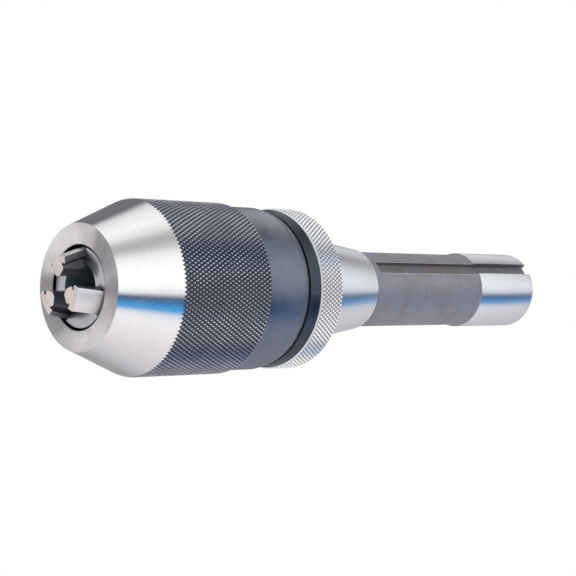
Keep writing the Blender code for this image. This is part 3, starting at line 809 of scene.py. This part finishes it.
def buildShank(sizes, key):
    end, front, pilot, relief = sizes["end"], sizes["front"], sizes["pilotRadius"], sizes["reliefRadius"]
    pilotFront, taper = end - sizes["pilotLength"], sizes["taperLength"]
    drawbar, pitch = sizes["drawbar"], sizes["threadPitch"]
    threadBottom = end - sizes["threadStart"] - sizes["threads"] * pitch
    # up the drawbar hole, then down the outside, and up the lead screw's bore
    rings = [(drawbar, end - sizes["drawbarDepth"]), (drawbar, threadBottom - sizes["threadRunOut"])]
    for thread in range(sizes["threads"]):
        z = threadBottom + thread * pitch
        rings += [
            (drawbar, z + sizes["threadRoot"] * pitch),
            (drawbar + sizes["threadDepth"], z + sizes["threadCrest"] * pitch),
            (drawbar, z + pitch),
        ]
    rings += [(drawbar, end - sizes["mouth"]), (drawbar + sizes["mouthWidth"], end)]
    rings += edgePoints(pilot, end, sizes["endRound"])
    rings += edgePoints(pilot, pilotFront, sizes["pilotRound"])
    rings += edgePoints(relief, pilotFront, sizes["reliefCorner"])
    rings += edgePoints(relief, taper, sizes["reliefGroove"])
    rings += edgePoints(sizes["taperEnd"], taper, sizes["taperRound"])
    gauge, shoulder, edge = sizes["gaugeRadius"], -sizes["shoulder"], sizes["shoulderEdge"]
    rings += [(gauge, 0.0), (gauge, shoulder + edge), (gauge - edge, shoulder), (sizes["neck"], shoulder)]
    flange, flangeRear, edge = sizes["flange"], sizes["flangeRear"], sizes["flangeEdge"]
    rings += [
        (sizes["neck"], flangeRear), (flange - edge, flangeRear), (flange, flangeRear - edge),
        (flange, front + edge), (flange - edge, front),
    ]
    bore, edge = sizes["bore"], sizes["boreEdge"]
    rings += [
        (bore + edge, front), (bore, front + edge), (bore, sizes["boreEnd"]),
        (sizes["borePointRadius"], sizes["boreEnd"] + sizes["borePoint"]),
    ]
    piece = turnedPiece("shank_r8", rings, sizes["count"], closed=False)
    giveMaterials(piece, groundSteel, reliefSteel, recessShade)
    wall = (drawbar + relief) / 2  # parts the outside from the drawbar hole

    def isRelief(middle, facing):
        return taper < middle.z < pilotFront + sizes["reliefPast"] and radiusOf(middle) > wall

    def isDrawbarHole(middle, facing):
        return taper < middle.z < end - sizes["mouth"] and radiusOf(middle) < wall

    paintFaces(piece, 1, isRelief)
    # the drawbar hole's faces take the dark tone, a painted shade
    paintFaces(piece, 2, isDrawbarHole)
    cutWith(piece, keywayCutter(end, pilot, key))
    smoothBy(piece, sizes["smooth"])
    return piece


def keywayCutter(end, pilot, key):
    # the keyway is milled out with a box whose floor has rounded corners
    deselectAll()
    length = end + key["pastEnd"] - key["start"]
    depth = pilot + key["pastPilot"] - key["floor"]
    bpy.ops.mesh.primitive_cube_add(size=1, location=(0, 0, 0))
    cutter = bpy.context.active_object
    bpy.ops.object.mode_set(mode="EDIT")
    bpy.ops.mesh.select_all(action="SELECT")
    bpy.ops.transform.resize(value=(depth, key["width"], length), center_override=(0, 0, 0))
    bpy.ops.transform.translate(value=(key["floor"] + depth / 2, 0, key["start"] + length / 2))
    bpy.ops.mesh.select_mode(type="EDGE")
    bpy.ops.object.mode_set(mode="OBJECT")
    for edge in cutter.data.edges:
        start, stop = (cutter.data.vertices[index].co for index in edge.vertices)
        atFloor = max(start.x, stop.x) < key["floor"] + depth / 2
        edge.select = atFloor and abs(start.z - stop.z) > length / 2
    bpy.ops.object.mode_set(mode="EDIT")
    bpy.ops.mesh.bevel(offset=key["corner"], segments=3)
    bpy.ops.object.mode_set(mode="OBJECT")
    cutter.rotation_euler = (0, 0, math.radians(key["angle"]))
    bpy.ops.object.transform_apply(location=False, rotation=True, scale=False)
    giveMaterials(cutter, keywaySteel)
    return cutter


shank = buildShank(shankSettings, keywaySettings)
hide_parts("shank_body")
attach(shank, "shank")
print("shank:", len(shank.data.polygons), "faces")

guideSettings = {"edge": 0.00022, "sharp": 35, "rimDepth": 0.0012, "towardsNose": -0.5, "smooth": 30}


def buildGuide(sizes):
    piece = copyOfNode("jaw_guide", "guide_jaws")
    bevelEdges(piece, sizes["edge"], sizes["sharp"])
    giveMaterials(piece, guideSteel, recessShade)
    rimEnd = sleeveLow.z + sizes["rimDepth"]

    def isInShade(middle, facing):
        # the rim and the faces turned to the nose stay bright; the other faces, deep inside, take the dark
        # tone as painted shade
        return facing.z > sizes["towardsNose"] and middle.z > rimEnd

    paintFaces(piece, 1, isInShade)
    smoothBy(piece, sizes["smooth"])
    return piece


guide = buildGuide(guideSettings)
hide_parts("jaw_guide")
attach(guide, "sleeve")
print("jaw guide built")

jawSettings = {
    "angles": {"jaw_1": 180, "jaw_2": 60, "jaw_3": -60}, "slope": 17.5,
    "tipRadius": 0.0082, "tipZ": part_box("jaw_1")[0].z, "halfInner": 0.0023,
    "grooveRadius": 0.00042, "grooveDeep": 0.0022, "grooveInset": 0.0001, "rodLength": 0.12, "rodSides": 16,
    "edge": 0.00012, "sharp": 30, "smooth": 25,
    # the lean limits below choose the faces painted with the sides' painted shadow and the tips' painted
    # shade
    "sideways": 0.5, "inwards": -0.3, "downwards": -0.6, "tip": -0.75,  # how far a face leans to be painted
}


def buildJaw(nodeName, sizes):
    piece = copyOfNode(nodeName, nodeName.replace("_", "_grip_"))
    turn, slope = math.radians(sizes["angles"][nodeName]), math.radians(sizes["slope"])
    grooveRadial = sizes["tipRadius"] - sizes["grooveDeep"] / math.cos(slope) - sizes["grooveInset"]
    for side in (1, -1):
        # a small rounded groove runs down each side, under the wide outer part
        deselectAll()
        bpy.ops.mesh.primitive_cylinder_add(
            vertices=sizes["rodSides"], radius=sizes["grooveRadius"], depth=sizes["rodLength"],
            location=(0, 0, 0),
        )
        rod = bpy.context.active_object
        rod.rotation_euler = (0, slope, 0)
        bpy.ops.object.transform_apply(location=False, rotation=True, scale=False)
        rod.location = (grooveRadial, side * sizes["halfInner"], sizes["tipZ"])
        bpy.ops.object.transform_apply(location=True, rotation=False, scale=False)
        rod.rotation_euler = (0, 0, turn)
        bpy.ops.object.transform_apply(location=False, rotation=True, scale=False)
        # the groove's faces keep this dark tone, a painted shadow in the groove
        giveMaterials(rod, jawSideShade)
        cutWith(piece, rod)
    giveMaterials(piece, jawSteel, jawSideShade, jawTipTintAndShade)
    bevelEdges(piece, sizes["edge"], sizes["sharp"])
    cosine, sine = math.cos(turn), math.sin(turn)

    def isShadedSide(middle, facing):
        across = abs(-facing.x * sine + facing.y * cosine)
        outward = facing.x * cosine + facing.y * sine
        return across > sizes["sideways"] or (outward < sizes["inwards"] and facing.z > sizes["downwards"])

    # sides and inward faces take the dark tone, a painted shadow
    paintFaces(piece, 1, isShadedSide)
    # tip faces take the darker tip tone, a painted shade
    paintFaces(piece, 2, lambda middle, facing: facing.z < sizes["tip"])
    smoothBy(piece, sizes["smooth"])
    return piece


for jawName in ("jaw_1", "jaw_2", "jaw_3"):
    jaw = buildJaw(jawName, jawSettings)
    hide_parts(jawName)
    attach(jaw, jawName)
print("jaws built")

# the enclosed pieces keep their solids
innerFinishes = {
    "front_race": raceSteel, "rear_race": raceSteel, "ball_cage": cageBrass, "spindle_screw": screwSteel,
}
innerFinishes |= {f"ball_{number:02d}": ballSteel for number in range(1, 13)}
for nodeName, finish in innerFinishes.items():
    giveMaterials(nodes[nodeName], finish)
print("inner pieces finished:", len(innerFinishes))

floorSettings = {"height": -0.62, "size": 6.0, "tone": (0.82, 0.82, 0.83), "rough": 0.9}


def buildFloor(sizes):
    deselectAll()
    bpy.ops.mesh.primitive_plane_add(size=sizes["size"], location=(0, 0, sizes["height"]))
    floor = bpy.context.active_object
    floor.name = "floor"
    made, tree, shader = startMaterial("paleFloor")
    feed(tree, shader.inputs["Base Color"], sizes["tone"])
    feed(tree, shader.inputs["Roughness"], sizes["rough"])
    giveMaterials(floor, made)


buildFloor(floorSettings)

stageTurn = 5.75  # degrees about the axis by which the tent and the camera are turned together

tentSettings = {
    # brightness and tint round the studio tent, by angle in degrees from the camera side
    "stops": [
        (-180, (0.45, 0.45, 0.47)), (-160, (0.45, 0.45, 0.47)), (-145, (0.24, 0.24, 0.26)),
        (-111, (0.22, 0.22, 0.24)), (-104, (0.92, 0.92, 0.94)), (-98, (1.10, 1.10, 1.13)),
        (-84, (1.24, 1.23, 1.26)), (-72, (0.97, 0.96, 0.98)), (-65, (0.62, 0.62, 0.64)),
        (-58, (0.54, 0.54, 0.56)), (-51, (0.70, 0.70, 0.72)), (-43, (1.05, 1.05, 1.07)),
        (-34, (1.20, 1.20, 1.22)), (-16, (1.34, 1.34, 1.36)), (-2, (1.26, 1.27, 1.30)),
        (6, (1.02, 1.04, 1.09)), (10, (0.46, 0.50, 0.58)), (13, (0.08, 0.11, 0.19)),
        (17, (0.04, 0.16, 0.36)), (22, (0.03, 0.30, 0.70)), (28, (0.07, 0.43, 0.91)),
        (32, (0.60, 0.76, 1.02)), (36, (0.96, 1.00, 1.09)), (44, (1.10, 1.08, 1.11)),
        (60, (1.02, 0.98, 1.01)), (84, (0.90, 0.87, 0.90)), (104, (0.78, 0.76, 0.80)),
        (122, (0.46, 0.46, 0.48)), (142, (0.45, 0.45, 0.47)), (180, (0.45, 0.45, 0.47)),
    ],
    "lowBoost": 1.04, "highFade": 0.78, "highAt": 0.7,
    "squeeze": -0.40,         # higher up, the pattern is wider by this share
    "squeezeFade": 12.0,
    "dim": 0.27, "dimAt": -95.0, "dimNear": 0.3, "dimFar": 0.65, "dimLow": 0.35, "dimHigh": 0.6,
    "fill": 1.36, "fillTone": (1.0, 0.985, 0.985),  # what matt surfaces such as the floor receive
}


def buildTent(light):
    world = bpy.data.worlds.new("studioTent")
    bpy.context.scene.world = world
    world.use_nodes = True
    tree = world.node_tree
    tree.nodes.clear()
    x, y, z = splitUp(tree, addNode(tree, "ShaderNodeTexCoord").outputs["Generated"])
    angle = mathNode(tree, "ARCTAN2", x, mathNode(tree, "MULTIPLY", y, -1.0))
    angle = mathNode(tree, "SUBTRACT", angle, math.radians(stageTurn))
    # the squeeze fades out at the back, so that both ends of the ramp meet there
    halfTurns = mathNode(tree, "ABSOLUTE", mathNode(tree, "DIVIDE", angle, math.pi))
    behind = mathNode(tree, "POWER", halfTurns, light["squeezeFade"])
    fading = mathNode(tree, "MULTIPLY_ADD", behind, -light["squeeze"], light["squeeze"])
    squeeze = mathNode(tree, "MULTIPLY_ADD", mathNode(tree, "MAXIMUM", z, 0.0), fading, 1.0)
    turn = mathNode(tree, "MULTIPLY_ADD", mathNode(tree, "MULTIPLY", angle, squeeze), 0.5 / math.pi, 0.5)
    ramp = addNode(tree, "ShaderNodeValToRGB")
    tree.links.new(turn, ramp.inputs[0])
    stops = ramp.color_ramp.elements
    while len(stops) > 1:
        stops.remove(stops[-1])
    for index, (degrees, tint) in enumerate(light["stops"]):
        where = degrees / 360 + 0.5
        stop = stops.new(where) if index else stops[0]
        stop.position = where
        stop.color = (*tint, 1)
    height = spread(tree, z, 0.0, light["highAt"], light["lowBoost"], light["highFade"])
    # the upper part of the tent is dimmer on one side
    offSide = mathNode(tree, "ABSOLUTE", mathNode(tree, "SUBTRACT", angle, math.radians(light["dimAt"])))
    dim = spread(tree, offSide, light["dimNear"], light["dimFar"], -light["dim"], 0.0)
    upper = spread(tree, z, light["dimLow"], light["dimHigh"])
    height = mathNode(tree, "MULTIPLY", height, mathNode(tree, "MULTIPLY_ADD", upper, dim, 1.0))

    def background(tone, strength):
        made = addNode(tree, "ShaderNodeBackground")
        feed(tree, made.inputs[0], tone)
        feed(tree, made.inputs[1], strength)
        return made.outputs[0]

    def choose(ray, usual, instead):
        made = addNode(tree, "ShaderNodeMixShader")
        for index, value in enumerate((path.outputs[ray], usual, instead)):
            tree.links.new(value, made.inputs[index])
        return made.outputs[0]

    path = addNode(tree, "ShaderNodeLightPath")
    lit = background(ramp.outputs[0], height)
    soft = choose("Is Diffuse Ray", lit, background(light["fillTone"], light["fill"]))
    seen = choose("Is Camera Ray", soft, background((1, 1, 1), 1.0))
    tree.links.new(seen, addNode(tree, "ShaderNodeOutputWorld").inputs[0])


buildTent(tentSettings)

cameraSettings = {
    "place": (0.002056, -0.331754, -0.324867), "turn": (-179.6114, -45.8087, -90.1486),
    "lens": 97.684, "sensor": 36.0, "clipStart": 0.01,
}


def buildCamera(view):
    data = bpy.data.cameras.new("camera")
    data.lens = view["lens"]
    data.sensor_width = view["sensor"]
    data.clip_start = view["clipStart"]
    camera = bpy.data.objects.new("camera", data)
    bpy.context.scene.collection.objects.link(camera)
    turn = math.radians(stageTurn)
    x, y, z = view["place"]
    camera.location = (x * math.cos(turn) - y * math.sin(turn), x * math.sin(turn) + y * math.cos(turn), z)
    turnX, turnY, turnZ = (math.radians(angle) for angle in view["turn"])
    camera.rotation_euler = (turnX, turnY, turnZ + turn)
    bpy.context.scene.camera = camera


buildCamera(cameraSettings)
bpy.context.scene.view_settings.view_transform = "Standard"
print("floor, tent and camera placed")

deselectAll()
